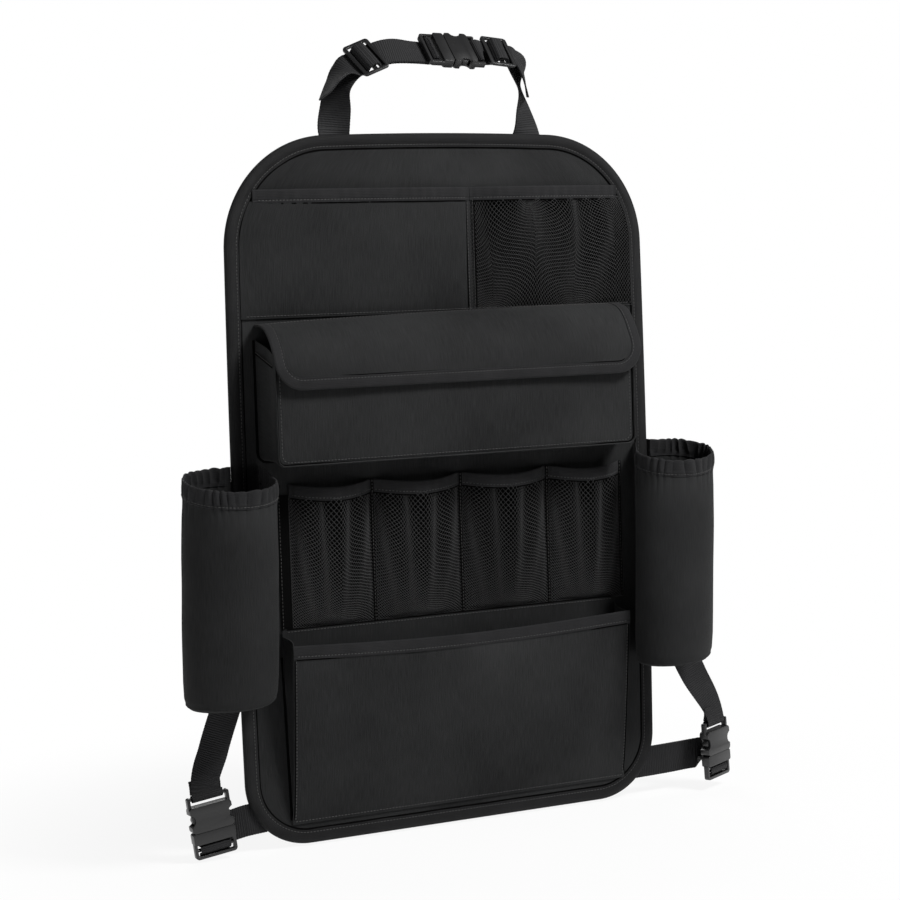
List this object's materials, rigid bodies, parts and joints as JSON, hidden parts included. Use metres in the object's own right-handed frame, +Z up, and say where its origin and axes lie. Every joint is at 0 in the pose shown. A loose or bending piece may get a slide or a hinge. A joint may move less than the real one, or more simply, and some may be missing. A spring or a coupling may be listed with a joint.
{
  "type": "car seat back organizer",
  "caption": "Stiffened fabric panel that hangs behind a car seat, with net and fabric pockets, a flap pocket, bottle sleeves and webbing straps with side-release buckles.",
  "frame": {"origin": "centre of the panel's flat back face, which lies against the seat", "axes": "+Z up, +X to the right as seen from the front, -Y the front with the pockets"},
  "size_m": [0.5327, 0.0771, 0.6862],
  "materials": {
    "cloth": "black woven polyester, matt",
    "board": "stiff sheet inside the panel",
    "tape": "ribbed black binding tape",
    "net": "black knitted net",
    "webbing": "black woven webbing",
    "plastic": "satin black moulded plastic"
  },
  "bodies": {
    "root": {"back_cover": "cloth", "stiffener_board": "board", "front_cover": "cloth", "edge_binding": "tape", "slip_pocket": "cloth", "slip_pocket_binding": "tape", "upper_net_pocket": "net", "upper_net_binding": "tape", "net_row": "net", "net_row_binding": "tape", "flap_pocket_wall": "cloth", "flap_pocket_front": "cloth", "flap": "cloth", "flap_binding": "tape", "lower_pocket_front": "cloth", "lower_pocket_binding": "tape", "lower_pocket_left_gusset": "cloth", "lower_pocket_right_gusset": "cloth", "left_bottle_sleeve": "cloth", "left_bottle_hem": "cloth", "left_bottle_base": "cloth", "right_bottle_sleeve": "cloth", "right_bottle_hem": "cloth", "right_bottle_base": "cloth", "top_buckle_socket": "plastic", "top_buckle_latch": "plastic", "top_left_slider": "plastic", "top_right_slider": "plastic", "top_left_strap": "webbing", "top_right_strap": "webbing", "left_buckle_socket": "plastic", "left_buckle_latch": "plastic", "left_upper_strap": "webbing", "left_lower_strap": "webbing", "right_buckle_socket": "plastic", "right_buckle_latch": "plastic", "right_upper_strap": "webbing", "right_lower_strap": "webbing"}
  },
  "joints": []
}
